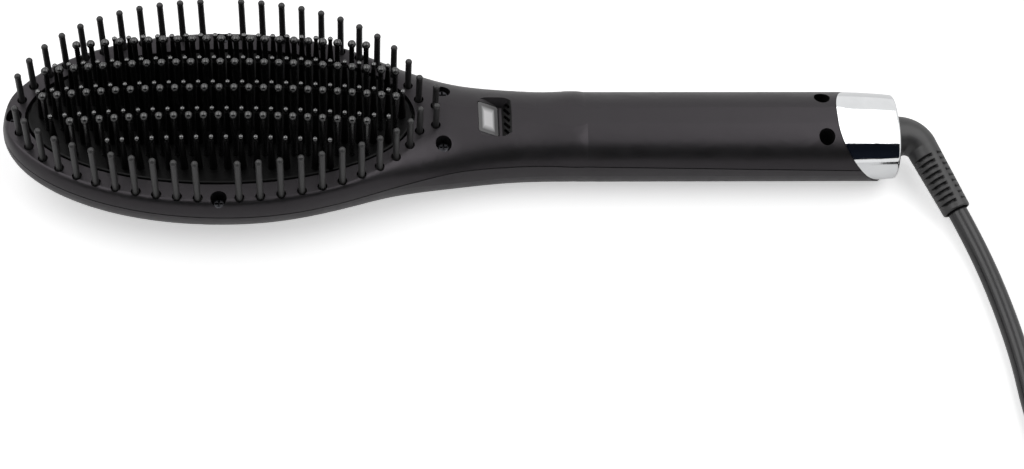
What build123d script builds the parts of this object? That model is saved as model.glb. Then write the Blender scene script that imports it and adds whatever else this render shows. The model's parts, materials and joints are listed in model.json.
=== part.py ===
"""Steam hair straightener brush, lying on its back with the bristles up.

+X runs from the head's tip to the cord, +Y to the far side and +Z up. The origin is on the
surface that the brush rests on, below the middle of its body. Lengths are in millimetres.
"""

from build123d import *
import os
from math import cos, hypot, radians, sin, sqrt, tan

# ---------------------------------------------------------------- driving dimensions
# Body
body_length = 288.7  # head tip to the end of the chrome collar
body_thickness = 24.4  # resting face to bristle face
head_length = 139.4  # long axis of the head's ellipse
head_width = 71.0
handle_width = 31.0
neck_angle = 52.35  # where the neck's curve leaves the head's ellipse, from its long axis
head_rim = 3.4  # width of the rounded rim round the bristle face
inner_rim = 0.5  # least width of that rim inside the covers
head_widest_height = 17.6
nose_fullness = 0.94  # power that rounds the back of the nose
handle_top_flat = 1.0
front_cut = 0.02  # depth cut from the body's front to leave its flat bristle face
back_cut = 0.25  # depth cut from its back to leave the face that it rests on
wall = 1.8
parting_height_head = 18.3
parting_height_handle = 15.5
seam_width = 0.4  # fine groove along the parting line
seam_depth = 0.35

# Outer pins and their frame
ring_slots = 48  # places round the ring, where three hold a screw and one stays empty
ring_margin_end = 5.0
ring_margin_side = 3.65
pin_diameter = 2.15  # at the foot
pin_neck_diameter = 2.0  # below its rounded tip
pin_ball_diameter = 2.2
pin_height = 19.2  # above the bristle face
pin_tip_drop = 6.1  # how much lower the pins stand at the head's tip
pin_neck_drop = 7.2
pin_drop_power = 3.2
pin_hole_clearance = 0.5
frame_thickness = 2.0
frame_edge = 3.0  # ring line to the frame's outer edge
frame_land = 9.0  # ring line to the frame's inner edge
fit_clearance = 0.3  # inner pieces to the inside of the covers
neck_pin_offset = 4.0  # from the ring's end
neck_pin_spacing = 7.6
neck_pin_height = 10.9

# Heater and bristles
opening_margin_end = 2.6  # ring line to the edge of the heater opening
opening_margin_side = 5.05
plate_gap = 0.7
plate_thickness = 2.1
plate_sink = 0.3
plate_skirt = 1.0
tooth_pitch = 4.58
row_pitch = 4.95
field_shift = 0.65  # middle of the bristle field from the head's middle, towards the neck
tooth_base_diameter = 2.6
tooth_top_diameter = 1.3
tooth_height = 18.6
cap_diameter = 1.9
cap_height = 2.6
ball_rod_diameter = 1.7
ball_diameter = 2.7
ball_height = 23.0
crown_drop = 2.9  # how much lower the outermost rows stand
row_end_drop = 5.6
field_margin_end = 2.0
field_margin_side = 0.9
strip_width = 3.4
strip_thickness = 1.6
rod_clearance = 0.1
heater_thickness = 2.6
heater_width = 5.4
heater_length = 80.0
heater_row = 10.0  # middle of each heater, from the head's long axis
insulation_thickness = 0.7
clamp_thickness = 0.8
heater_screw_diameter = 2.4
heater_screw_spacing = 32.0
heater_boss_diameter = 4.8
shield_thickness = 0.8
shield_margin = 6.0  # ring line to the shield's edge
lead_diameter = 1.6
lead_hole_diameter = 2.4
lead_row = 8.8  # where the leads leave the heaters, from the head's long axis
lead_neck_row = 15.2  # past the neck screws
lead_handle_row = 11.5  # past the tank
sensor_offset = 32.0
sensor_length = 7.0
sensor_width = 2.4

# Cover screws
screw_diameter = 2.4
screw_head_diameter = 4.3
screw_head_height = 1.8
screw_length = 8.0
screw_recess_diameter = 5.2
tip_screw_offset = 1.0  # from the ring, towards the head's tip
head_seat_depth = 5.0  # bristle face to the screw heads' seats
handle_seat_depth = 11.4
seat_thickness = 1.5
hole_play = 0.2  # radial play of a screw in its clearance hole
boss_wall = 1.4
neck_screw_offset = 6.4
neck_screw_spacing = 20.7
end_screw_inset = 24.3  # from the collar's end
end_screw_spacing = 15.4

# Scoop with the window and the mist outlet
scoop_x = 82.1  # from the head's centre to the scoop's head end
scoop_length = 11.1
scoop_depth = 4.0
scoop_width = 16.4
scoop_draft = 31.5  # how far the side walls lean out from upright, in degrees
scoop_corner = 4.0
scoop_lead = 0.6  # scoop's ends to the ends of the draughted outline
window_run = 7.3  # length of the window's slope along the body
scoop_floor_length = 0.8
window_width = 11.6
window_margin = 0.5  # window to the ends of its slope
window_gap = 0.2
window_ledge = 0.8
window_thickness = 1.0
scoop_wall = 1.4
outlet_thickness = 1.2
outlet_side_margin = 1.5  # outlet to the sides of the scoop
outlet_end_margin = 0.3
outlet_ledge = 0.8
outlet_rim_side = 0.6  # slots to the outlet's own edges
outlet_rim_end = 0.45
outlet_slots = 5
outlet_slot_length = 4.6
outlet_slot_width = 0.95
outlet_slot_slant = 38.0

# Steam parts
tank_length = 30.0
tank_width = 19.2
tank_height = 12.0
tank_wall = 1.2
chamber_length = 9.0
chamber_width = 13.0
piezo_diameter = 8.0
piezo_thickness = 0.8
filler_diameter = 7.0
filler_wall = 1.0
plug_flange_diameter = 10.4
plug_flange_thickness = 1.4
plug_stem_length = 3.6
plug_sink = 0.4  # resting face to the plug's outer face
wick_diameter = 3.0

# Buttons and electronics
button_spacing = 13.0
button_length = 9.0
button_width = 7.0
button_gap = 0.25
button_travel = 0.5
button_lip = 0.8
pad_depth = 1.3  # sunk panel round the buttons
pad_margin = 3.0
panel_thickness = 1.6
button_stand = 0.7  # button above the sunk panel
switch_size = 6.0
switch_height = 3.4
plunger_diameter = 3.4
plunger_bore_clearance = 0.06
board_length = 46.0
board_width = 21.0
board_thickness = 1.6
board_to_screw = 8.6  # board's end to the end screws
board_height = 9.6  # resting face to the board's lower side
post_diameter = 4.4
board_screw_diameter = 1.9
board_screw_length = 6.2
pilot_room = 0.4  # depth left free below the board screws' ends

# Collar and swivel
collar_length = 20.2  # along the bristle side
collar_slant = 0.78  # how far the joint leans towards the cord for each millimetre down
collar_taper = 1.0
collar_wall = 1.6
collar_end_wall = 2.5
collar_edge_radius = 0.9
joint_gap = 0.15
socket_rim_length = 3.5
socket_rim_gap = 0.1
socket_flange_depth = 6.4  # collar's end wall to the step that holds the stem's flange
stem_diameter = 9.9
stem_flange_diameter = 13.0
stem_flange_thickness = 2.4
swivel_clearance = 0.05
boot_clearance = 0.3
clip_thickness = 1.0
core_diameter = 5.2
core_reach = 6.0  # how far the cord's inner end stands out of the socket

# Cord and strain relief
cord_diameter = 6.5
boot_root_diameter = 13.8
boot_shoulder_diameter = 10.4
boot_end_diameter = 9.2
boot_root_length = 2.65
boot_elbow_radius = 7.5
boot_bend = 66.3
boot_dip = 14.0  # how far the boot's bend is turned down from level
boot_straight = 23.4
boot_ribs = 9
boot_rib_pitch = 2.1
boot_slot_width = 1.05
boot_slot_depth = 1.5
boot_spine_width = 2.0
boot_tip_length = 1.1
coil_mean_diameter = 71.5
coil_columns = 4
coil_layers = 2
plug_length = 34.0
plug_width = 27.0
plug_thickness = 14.0
plug_neck_diameter = 10.0
plug_neck_length = 12.0
plug_pin_diameter = 4.0
plug_pin_length = 19.0
plug_pin_spacing = 19.0

# The cord's route is a list chosen by hand, beyond its first straight run out of the boot:
# the middle of the cord in X, Y and Z.
cord_exit_run = 11.0
cord_route = [
    (172.5, -55.5, 3.3),
    (175.8, -78.5, 3.3),
    (176.4, -97.0, 3.3),
    (178.7, -113.0, 3.3),
]
tail_route = [
    (269.7, -113.0, 9.75),
    (270.1, -99.5, 8.6),
    (267.7, -86.0, 7.0),
    (262.3, -73.8, 7.0),
]

# ---------------------------------------------------------------- places worked out from them
tip_x = -body_length / 2
end_x = body_length / 2
head_x = tip_x + head_length / 2
face_z = body_thickness
axis_z = body_thickness / 2
neck_start_x = head_x + head_length / 2 * cos(radians(neck_angle))
neck_start_half = head_width / 2 * sin(radians(neck_angle))
neck_slope = head_width / head_length / tan(radians(neck_angle))
neck_length = 2 * (neck_start_half - handle_width / 2) / neck_slope
handle_x = neck_start_x + neck_length
ring_a = head_length / 2 - ring_margin_end
ring_b = head_width / 2 - ring_margin_side
opening_a = ring_a - opening_margin_end
opening_b = ring_b - opening_margin_side
plate_a = opening_a - plate_gap
plate_b = opening_b - plate_gap
plate_top = face_z - plate_sink
plate_under = plate_top - plate_thickness
insulation_top = plate_under - heater_thickness
clamp_top = insulation_top - insulation_thickness
frame_top = clamp_top - clamp_thickness
frame_bottom = frame_top - frame_thickness
parting_slope = (parting_height_head - parting_height_handle) / (end_x / 2 - head_x)
parting_plane = Plane(
    origin=(head_x, 0, parting_height_head), x_dir=(0, 1, 0), z_dir=(parting_slope, 0, 1)
)
collar_x = end_x - collar_length
collar_plane = Plane(origin=(collar_x, 0, face_z), x_dir=(0, 1, 0), z_dir=(1, 0, collar_slant))
body_end_plane = collar_plane.offset(-joint_gap)

os.makedirs("parts", exist_ok=True)


def write_part(name, part):
    """Label a finished sub-part and write it as a STEP file of that name."""
    part.label = name
    export_step(part, f"parts/{name}.step")


# ---------------------------------------------------------------- shapes used by several pieces
UP_FROM = (Align.CENTER, Align.CENTER, Align.MIN)


def pegs(points, radius, bottom, top):
    """Upright round pegs at points, to add to a piece or to cut from it."""
    with BuildPart() as peg_group:
        with BuildSketch(Plane.XY.offset(bottom)):
            with Locations(*points):
                Circle(radius)
        extrude(amount=top - bottom)
    return peg_group.part


def oval(a, b, bottom, top):
    """Upright elliptical slab over the middle of the head."""
    with BuildPart() as slab:
        with BuildSketch(Plane.XY.offset(bottom)):
            with Locations((head_x, 0)):
                Ellipse(a, b)
        extrude(amount=top - bottom)
    return slab.part


def block(x, y, length, width, bottom, top, corner=0.0):
    """Upright block round (x, y), with its upright edges rounded where corner is given."""
    with BuildPart() as box:
        with BuildSketch(Plane.XY.offset(bottom)):
            with Locations((x, y)):
                if corner > 0:
                    RectangleRounded(length, width, corner)
                else:
                    Rectangle(length, width)
        extrude(amount=top - bottom)
    return box.part


def outer_pin(x, y, bottom, top):
    """One outer pin: a slim cone with a round tip that is a little wider than its neck."""
    ball_radius = pin_ball_diameter / 2
    shaft_length = top - ball_radius - bottom
    with BuildPart(Plane((x, y, bottom))) as pin:
        Cone(pin_diameter / 2, pin_neck_diameter / 2, shaft_length, align=UP_FROM)
        with Locations((0, 0, shaft_length)):
            Sphere(ball_radius)
    return pin.part


def rod_along_x(x_start, x_end, y, z, radius):
    """Round rod that runs along X."""
    with BuildPart() as rod:
        with BuildSketch(Plane.YZ.offset(x_start)):
            with Locations((y, z)):
                Circle(radius)
        extrude(amount=x_end - x_start)
    return rod.part


def screw(x, y, seat, diameter, head_diameter, head_height, length):
    """Round-headed cross-recess screw whose head sits at height seat."""
    with BuildPart(Plane((x, y, seat))) as fastener:
        Cylinder(head_diameter / 2, head_height, align=UP_FROM)
        fillet(fastener.edges().group_by(Axis.Z)[-1], 0.45 * head_height)
        with Locations((0, 0, -length)):
            Cylinder(diameter / 2, length, align=UP_FROM)
        chamfer(fastener.edges().group_by(Axis.Z)[0], 0.2 * diameter)
        with BuildSketch(Plane((x, y, seat + head_height))):
            Rectangle(0.6 * head_diameter, 0.14 * head_diameter)
            Rectangle(0.14 * head_diameter, 0.6 * head_diameter)
        extrude(amount=-0.6 * head_height, mode=Mode.SUBTRACT)
    return fastener.part


def within(part, limit):
    """The share of a piece that lies inside a limiting solid."""
    with BuildPart() as inside:
        add(part)
        add(limit, mode=Mode.INTERSECT)
    return inside.part


def fillet_route(points):
    """Radii for a cord's corners: each is as large as the two runs beside it allow."""
    radii = []
    for before, corner, after in zip(points, points[1:], points[2:]):
        run_in = Vector(*corner) - Vector(*before)
        run_out = Vector(*after) - Vector(*corner)
        half_turn = radians(run_in.get_angle(run_out) / 2)
        radii.append(0.45 * min(run_in.length, run_out.length) / tan(half_turn))
    return radii


def tube(points, radii, diameter):
    """Round tube of straight runs joined by tangent arcs."""
    with BuildLine() as line:
        FilletPolyline(*points, radius=radii)
    start = Vector(*points[0])
    toward = Vector(*points[1]) - start
    with BuildPart() as cable:
        with BuildSketch(Plane(origin=start, z_dir=toward)):
            Circle(diameter / 2)
        sweep(path=line.wire())
    return cable.part


# ---------------------------------------------------------------- outer shape of the body
head_angles = (4, 9, 15, 22, 33, 49, 69, 90, 107)  # sections round the head, from its tip
neck_steps = 6


def half_width(x, inset):
    """Half of the body's width at x: the head's ellipse, then a parabola into the handle."""
    if x < neck_start_x:
        share = (x - head_x) / (head_length / 2 - inset)
        return (head_width / 2 - inset) * sqrt(max(0.0, 1 - share * share))
    reach = max(0.0, (handle_x - x) / neck_length)
    flare = (neck_start_half - handle_width / 2) * reach**2
    return handle_width / 2 + flare - inset


def neck_blend(x):
    """0 on the head and 1 on the handle, with a smooth change along the first part of the neck."""
    share = (x - neck_start_x) / (0.62 * neck_length)
    share = min(1.0, max(0.0, share))
    return share * share * (3 - 2 * share)


def body_section(x, inset):
    """The section of the body at x, set in from its surface by inset."""
    blend = neck_blend(x)
    half = half_width(x, inset)
    widest = head_widest_height + (axis_z - head_widest_height) * blend
    rim = max(inner_rim, head_rim - inset) * (1 - blend) + (half - handle_top_flat / 2) * blend
    rim = min(rim, 0.85 * half)
    flat = half - rim
    from_tip = min(1.0, (x - tip_x - inset) / head_rim)
    rise = (face_z + front_cut - inset - widest) * sqrt(1 - (1 - from_tip) ** 2)
    depth = widest + back_cut - inset
    if x < head_x:
        share = (head_x - x) / (head_length / 2 - inset)
        depth = depth * sqrt(1 - share * share) ** nose_fullness
    with BuildSketch(Plane.YZ.offset(x)) as section:
        with BuildLine():
            EllipticalCenterArc((0, widest), half, depth, 270, arc_size=90)
            EllipticalCenterArc((flat, widest), rim, rise, 0, arc_size=90)
            Line((flat, widest + rise), (-flat, widest + rise))
            EllipticalCenterArc((-flat, widest), rim, rise, 90, arc_size=90)
            EllipticalCenterArc((0, widest), half, depth, 180, arc_size=90)
        make_face()
    return section.sketch.face()


def body_solid(inset):
    """The whole body as one solid, set in by inset, with its flat front and resting faces."""
    reach = head_length / 2 - inset
    stations = [head_x - reach * cos(radians(angle)) for angle in head_angles]
    stations += [neck_start_x + neck_length * step / neck_steps for step in range(neck_steps + 2)]
    with BuildPart() as solid:
        loft([body_section(x, inset) for x in stations])
        extrude(body_section(stations[-1], inset), amount=end_x - stations[-1])
        split(bisect_by=Plane.XY.offset(inset), keep=Keep.TOP)
        split(bisect_by=Plane.XY.offset(face_z - inset), keep=Keep.BOTTOM)
    return solid.part


outer_body = body_solid(0)
inner_body = body_solid(wall)
core_body = body_solid(wall / 2)
fitted_body = body_solid(wall + fit_clearance)

# ---------------------------------------------------------------- places of pins and screws
ring_path = EllipticalCenterArc((head_x, 0), ring_a, ring_b, 0, arc_size=360)
side_slots = (ring_slots // 4, 3 * ring_slots // 4)
tip_slot = ring_slots // 2
empty_slots = (0, tip_slot) + side_slots
ring_points = [
    tuple(ring_path @ (slot / ring_slots))[:2]
    for slot in range(ring_slots)
    if slot not in empty_slots
]
neck_pin_x = head_x + ring_a + neck_pin_offset
neck_pin_points = [(neck_pin_x, side * neck_pin_spacing / 2) for side in (-1, 1)]

head_screw_points = [(head_x - ring_a - tip_screw_offset, 0)]
head_screw_points += [tuple(ring_path @ (slot / ring_slots))[:2] for slot in side_slots]
neck_screw_x = head_x + ring_a + neck_screw_offset
neck_screw_points = [(neck_screw_x, side * neck_screw_spacing / 2) for side in (-1, 1)]
end_screw_x = end_x - end_screw_inset
end_screw_points = [(end_screw_x, side * end_screw_spacing / 2) for side in (-1, 1)]
head_seat = face_z - head_seat_depth
handle_seat = face_z - handle_seat_depth
# Each group of cover screws: its places, its seat and the top of the bosses below it
screw_groups = (
    (head_screw_points, head_seat, frame_bottom),
    (neck_screw_points, head_seat, head_seat - seat_thickness),
    (end_screw_points, handle_seat, handle_seat - seat_thickness),
)

# ---------------------------------------------------------------- scoop in the neck
scoop_left = head_x + scoop_x
scoop_right = scoop_left + scoop_length
scoop_floor_z = face_z - scoop_depth
floor_left = scoop_left + window_run
floor_right = floor_left + scoop_floor_length


outlet_run = scoop_right - floor_right
cut_above = 1.0  # how far cuts reach above the bristle face
draft_reach = 2 * cut_above * tan(radians(scoop_draft))
with BuildPart() as scoop_funnel:
    with BuildSketch(Plane.XY.offset(face_z + cut_above)):
        with Locations(((scoop_left + scoop_right) / 2, 0)):
            RectangleRounded(
                scoop_length + 2 * scoop_lead + draft_reach,
                scoop_width + draft_reach,
                scoop_corner + draft_reach / 2,
            )
    extrude(amount=-scoop_depth - cut_above, taper=scoop_draft)

rise = cut_above / scoop_depth
with BuildPart() as scoop_hollow:
    with BuildSketch(Plane.XZ):
        Polygon(
            (scoop_left - rise * window_run, face_z + cut_above),
            (floor_left, scoop_floor_z),
            (floor_right, scoop_floor_z),
            (scoop_right + rise * outlet_run, face_z + cut_above),
            align=None,
        )
    extrude(amount=scoop_width, both=True)
    add(scoop_funnel.part, mode=Mode.INTERSECT)

window_middle = (scoop_left + floor_left) / 2
window_plane = Plane(
    origin=(window_middle, 0, face_z - scoop_depth / 2),
    x_dir=(0, 1, 0),
    z_dir=(scoop_depth, 0, window_run),
)
window_length = hypot(window_run, scoop_depth) - 2 * window_margin
outlet_middle = (scoop_right + floor_right) / 2
outlet_plane = Plane(
    origin=(outlet_middle, 0, face_z - scoop_depth / 2),
    x_dir=(0, 1, 0),
    z_dir=(-scoop_depth, 0, outlet_run),
)
outlet_width = scoop_width - 2 * outlet_side_margin
outlet_height = hypot(outlet_run, scoop_depth) - 2 * outlet_end_margin


def slab_on(plane, width, length, near, far, corner):
    """Rounded slab square to a sloping plane, from the offset near to the offset far."""
    with BuildPart() as slab:
        with BuildSketch(plane.offset(near)):
            RectangleRounded(width, length, corner)
        extrude(amount=far - near)
    return slab.part


module_width = window_width - 2 * window_ledge
module_length = window_length - 2 * window_ledge
module_thickness = 1.6

# ---------------------------------------------------------------- places inside the handle
tank_x = scoop_right + 27.0
tank_bottom = 5.0
filler_bottom = plug_sink + plug_flange_thickness
chamber_x = scoop_right + 1.6 + chamber_length / 2
chamber_top = scoop_floor_z + 0.8
chamber_bottom = 6.0
board_x = end_screw_x - board_to_screw - board_length / 2
button_points = [(board_x + place * button_spacing, 0) for place in (-1, 0, 1)]
panel_length = 2 * button_spacing + button_length + 2 * pad_margin
panel_width = button_width + 2 * pad_margin
panel_inner = pad_depth + panel_thickness
board_top = board_height + board_thickness
post_points = [
    (board_x + along * 0.43 * board_length, across * 0.38 * board_width)
    for along in (-1, 1)
    for across in (-1, 1)
]

# ---------------------------------------------------------------- front cover
def above_parting(part):
    """The share of a piece that lies on the front cover's side of the parting line."""
    with BuildPart() as upper:
        add(part)
        split(bisect_by=parting_plane, keep=Keep.TOP)
    return upper.part


with BuildPart() as seam_cutter:
    with BuildSketch(parting_plane):
        Rectangle(2 * head_width, 2 * body_length)
    extrude(amount=seam_width)
    add(body_solid(seam_depth), mode=Mode.SUBTRACT)

scoop_block = block(
    (scoop_left + scoop_right) / 2,
    0,
    scoop_length + 2 * scoop_wall,
    scoop_width + 2 * scoop_wall,
    scoop_floor_z - scoop_wall,
    face_z,
    corner=2.0,
)

with BuildPart() as front_cover:
    add(outer_body)
    add(inner_body, mode=Mode.SUBTRACT)
    split(bisect_by=parting_plane, keep=Keep.TOP)
    split(bisect_by=body_end_plane, keep=Keep.BOTTOM)
    add(seam_cutter.part, mode=Mode.SUBTRACT)
    for points, seat, boss_top in screw_groups:
        boss_bottom = seat - seat_thickness
        bosses = pegs(points, screw_recess_diameter / 2 + boss_wall, boss_bottom, face_z)
        add(above_parting(within(bosses, core_body)))
        add(within(bosses, fitted_body))
        add(pegs(points, screw_recess_diameter / 2, seat, face_z + 1), mode=Mode.SUBTRACT)
        add(pegs(points, screw_diameter / 2 + hole_play, seat - 2, face_z), mode=Mode.SUBTRACT)
    add(oval(opening_a, opening_b, frame_top, face_z + cut_above), mode=Mode.SUBTRACT)
    add(within(scoop_block, core_body))
    add(scoop_hollow.part, mode=Mode.SUBTRACT)
    pocket_width = window_width + 2 * window_gap
    pocket_length = window_length + 2 * window_gap
    add(
        slab_on(window_plane, pocket_width, pocket_length, 0, -window_thickness, 0.8),
        mode=Mode.SUBTRACT,
    )
    add(
        slab_on(window_plane, module_width, module_length, 0, -2.5 * scoop_depth, 0.4),
        mode=Mode.SUBTRACT,
    )
    add(
        slab_on(outlet_plane, outlet_width, outlet_height, 0, -outlet_thickness, 0.8),
        mode=Mode.SUBTRACT,
    )
    duct_width = outlet_width - 2 * outlet_ledge
    duct_height = outlet_height - 2 * outlet_ledge
    add(slab_on(outlet_plane, duct_width, duct_height, 0, -scoop_depth, 0.4), mode=Mode.SUBTRACT)
    hole_points = ring_points + neck_pin_points
    hole_radius = pin_diameter / 2 + pin_hole_clearance
    add(pegs(hole_points, hole_radius, frame_top, face_z + 1), mode=Mode.SUBTRACT)
write_part("front_cover", front_cover.part)

# ---------------------------------------------------------------- back cover
with BuildPart() as back_cover:
    add(outer_body)
    add(inner_body, mode=Mode.SUBTRACT)
    split(bisect_by=parting_plane, keep=Keep.BOTTOM)
    split(bisect_by=body_end_plane, keep=Keep.BOTTOM)
    for points, seat, boss_top in screw_groups:
        bosses = pegs(points, screw_diameter / 2 + boss_wall, wall / 2, boss_top)
        add(within(bosses, core_body))
    add(within(pegs(post_points, post_diameter / 2, wall / 2, board_height), core_body))
    backing_length = panel_length + 2 * panel_thickness
    backing_width = panel_width + 2 * panel_thickness
    backing = block(board_x, 0, backing_length, backing_width, wall / 2, panel_inner, 2.0)
    add(within(backing, core_body))
    filler_ring = plug_flange_diameter / 2 + wall
    add(within(pegs([(tank_x, 0)], filler_ring, wall / 2, filler_bottom + wall), core_body))
    for points, seat, boss_top in screw_groups:
        pilot_bottom = seat - screw_length
        add(pegs(points, screw_diameter / 2, pilot_bottom, face_z), mode=Mode.SUBTRACT)
        add(pegs(points, screw_recess_diameter / 2, seat, face_z), mode=Mode.SUBTRACT)
    post_hole_bottom = board_top - board_screw_length - pilot_room
    add(
        pegs(post_points, board_screw_diameter / 2, post_hole_bottom, board_height + 1),
        mode=Mode.SUBTRACT,
    )
    add(block(board_x, 0, panel_length, panel_width, -1, pad_depth, 3.0), mode=Mode.SUBTRACT)
    for x, y in button_points:
        hole_length = button_length + 2 * button_gap
        hole_width = button_width + 2 * button_gap
        add(block(x, y, hole_length, hole_width, 0, panel_inner + 1, 1.6), mode=Mode.SUBTRACT)
    recess_radius = plug_flange_diameter / 2 + 0.3
    add(pegs([(tank_x, 0)], recess_radius, -1, filler_bottom), mode=Mode.SUBTRACT)
    filler_radius = filler_diameter / 2 + filler_wall
    add(pegs([(tank_x, 0)], filler_radius, 0, filler_bottom + wall + 1), mode=Mode.SUBTRACT)
write_part("back_cover", back_cover.part)

# ---------------------------------------------------------------- pin frame and its outer pins
with BuildPart() as pin_frame:
    add(oval(ring_a + frame_edge, ring_b + frame_edge, frame_bottom, frame_top))
    tongue_length = neck_pin_offset + pin_diameter + 6.0
    tongue_x = neck_pin_x + pin_diameter - tongue_length / 2
    tongue_width = neck_pin_spacing + 2 * pin_diameter
    add(block(tongue_x, 0, tongue_length, tongue_width, frame_bottom, frame_top, 1.5))
    add(fitted_body, mode=Mode.INTERSECT)
    land_a = ring_a - frame_land
    land_b = ring_b - frame_land
    add(oval(land_a, land_b, frame_bottom - 1, frame_top + 1), mode=Mode.SUBTRACT)
    add(
        pegs(head_screw_points, screw_diameter / 2 + hole_play, frame_bottom - 1, frame_top + 1),
        mode=Mode.SUBTRACT,
    )
    pins = []
    for x, y in ring_points:
        share = abs(x - head_x) / ring_a
        drop = pin_tip_drop if x < head_x else pin_neck_drop
        tip = face_z + pin_height - drop * share**pin_drop_power
        pins.append(outer_pin(x, y, frame_bottom + 0.5, tip))
    for x, y in neck_pin_points:
        tip = face_z + neck_pin_height
        pins.append(outer_pin(x, y, frame_bottom + 0.5, tip))
    add(pins)
write_part("pin_frame", pin_frame.part)

# ---------------------------------------------------------------- bristle field
field_a = plate_a - field_margin_end
field_b = plate_b - field_margin_side
field_x = head_x + field_shift
row_reach = 60  # more places than half a row can hold


def row_places(y, shift):
    """Places along the row at y, in whole pitches from the field's middle plus shift."""
    reach = field_a * sqrt(1 - (y / field_b) ** 2)
    offsets = [(step + shift) * tooth_pitch for step in range(-row_reach, row_reach)]
    return [(field_x + offset, y) for offset in offsets if abs(offset) <= reach]


def crown(x, y, height):
    """Height of a bristle's tip: lower in the outer rows and towards the rows' ends."""
    across = (y / field_b) ** 2
    along = ((x - field_x) / field_a) ** 2
    return face_z + height - crown_drop * across - row_end_drop * along


tooth_rows = [row_places(step * 2 * row_pitch, 0.5) for step in (-2, -1, 0, 1, 2)]
ball_rows = [row_places(step * row_pitch, 0) for step in (-3, -1, 1, 3)]
heater_screw_points = [
    (head_x + (place - 1.5) * heater_screw_spacing, 0) for place in range(4)
]
skirt_a = plate_a - plate_skirt
skirt_b = plate_b - plate_skirt


def tooth(x, y):
    """One heated tooth of the plate, below its cap."""
    base = plate_top - 0.5
    top = crown(x, y, tooth_height) - cap_height
    with BuildPart(Plane((x, y, base))) as cone:
        Cone(tooth_base_diameter / 2, tooth_top_diameter / 2, top - base, align=UP_FROM)
    return cone.part


with BuildPart() as heater_plate:
    add(oval(plate_a, plate_b, frame_top, plate_top))
    fillet(heater_plate.edges().group_by(Axis.Z)[-1], 0.8)
    add(oval(skirt_a, skirt_b, frame_top - 1, plate_under), mode=Mode.SUBTRACT)
    boss_radius = heater_boss_diameter / 2
    add(pegs(heater_screw_points, boss_radius, clamp_top, plate_under + 0.5))
    add([tooth(x, y) for row in tooth_rows for x, y in row])
    rod_points = [point for row in ball_rows for point in row]
    rod_hole = ball_rod_diameter / 2 + rod_clearance
    add(pegs(rod_points, rod_hole, plate_under - 1, face_z), mode=Mode.SUBTRACT)
    pilot = heater_screw_diameter / 2
    add(pegs(heater_screw_points, pilot, clamp_top - 1, plate_under), mode=Mode.SUBTRACT)
write_part("heater_plate", heater_plate.part)

# Heat-proof caps on the teeth: a cone that widens to a domed top
with BuildPart() as tooth_cap:
    Cone(0.8 * tooth_top_diameter / 2, cap_diameter / 2, cap_height, align=UP_FROM)
    fillet(tooth_cap.edges().group_by(Axis.Z)[-1], 0.7 * cap_diameter / 2)
cap_places = [
    Location((x, y, crown(x, y, tooth_height) - cap_height)) for row in tooth_rows for x, y in row
]
write_part("tooth_caps", Compound(children=[tooth_cap.part.moved(place) for place in cap_places]))

# Ball-tipped bristles, moulded in four strips below the plate
strip_bottom = plate_under - strip_thickness


def ball_bristle(x, y):
    """One rod with a ball on its tip, standing on its strip."""
    ball_z = crown(x, y, ball_height) - ball_diameter / 2
    with BuildPart(Plane((x, y, strip_bottom))) as bristle:
        Cylinder(ball_rod_diameter / 2, ball_z - strip_bottom, align=UP_FROM)
        with Locations((0, 0, ball_z - strip_bottom)):
            Sphere(ball_diameter / 2)
    return bristle.part


tray_space = oval(skirt_a - hole_play, skirt_b - hole_play, frame_top, plate_under)
strips = []
for row in ball_rows:
    strip_length = row[-1][0] - row[0][0] + strip_width
    strip_x = (row[0][0] + row[-1][0]) / 2
    bar = block(strip_x, row[0][1], strip_length, strip_width, strip_bottom, plate_under, 1.0)
    with BuildPart() as strip:
        add(within(bar, tray_space))
        add([ball_bristle(x, y) for x, y in row])
    strips.append(strip.part)
write_part("ball_bristle_strips", Compound(children=strips))

# ---------------------------------------------------------------- heater stack below the plate
stack_a = skirt_a - 1.0
stack_b = skirt_b - 1.0
heater_end_x = head_x + heater_length / 2
lead_drop_x = heater_end_x + 2.0
lead_holes = [(lead_drop_x, side * lead_row) for side in (-1, 1)]

heaters = [
    block(head_x, side * heater_row, heater_length, heater_width, insulation_top, plate_under)
    for side in (-1, 1)
]
write_part("ceramic_heaters", Compound(children=heaters))

with BuildPart() as insulation_sheet:
    add(oval(stack_a, stack_b, clamp_top, insulation_top))
    clear_boss = heater_boss_diameter / 2 + hole_play
    add(pegs(heater_screw_points, clear_boss, clamp_top - 1, face_z), mode=Mode.SUBTRACT)
    add(pegs(lead_holes, lead_hole_diameter / 2, clamp_top - 1, face_z), mode=Mode.SUBTRACT)
write_part("insulation_sheet", insulation_sheet.part)

with BuildPart() as heater_clamp:
    add(oval(stack_a, stack_b, frame_top, clamp_top))
    clear_screw = heater_screw_diameter / 2 + hole_play
    add(pegs(heater_screw_points, clear_screw, frame_top - 1, face_z), mode=Mode.SUBTRACT)
    add(pegs(lead_holes, lead_hole_diameter / 2, frame_top - 1, face_z), mode=Mode.SUBTRACT)
write_part("heater_clamp", heater_clamp.part)

heater_screws = []
for x, y in heater_screw_points:
    upright = screw(0, 0, 0, heater_screw_diameter, 4.2, 1.2, plate_under - frame_top - 1.0)
    heater_screws.append(upright.rotate(Axis.X, 180).moved(Location((x, y, frame_top))))
write_part("heater_screws", Compound(children=heater_screws))

with BuildPart() as heat_shield:
    shield_top = frame_bottom
    add(
        oval(
            ring_a - shield_margin,
            ring_b - shield_margin,
            shield_top - shield_thickness,
            shield_top,
        )
    )
    add(pegs(lead_holes, lead_hole_diameter / 2, shield_top - 2, face_z), mode=Mode.SUBTRACT)
write_part("heat_shield", heat_shield.part)

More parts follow.
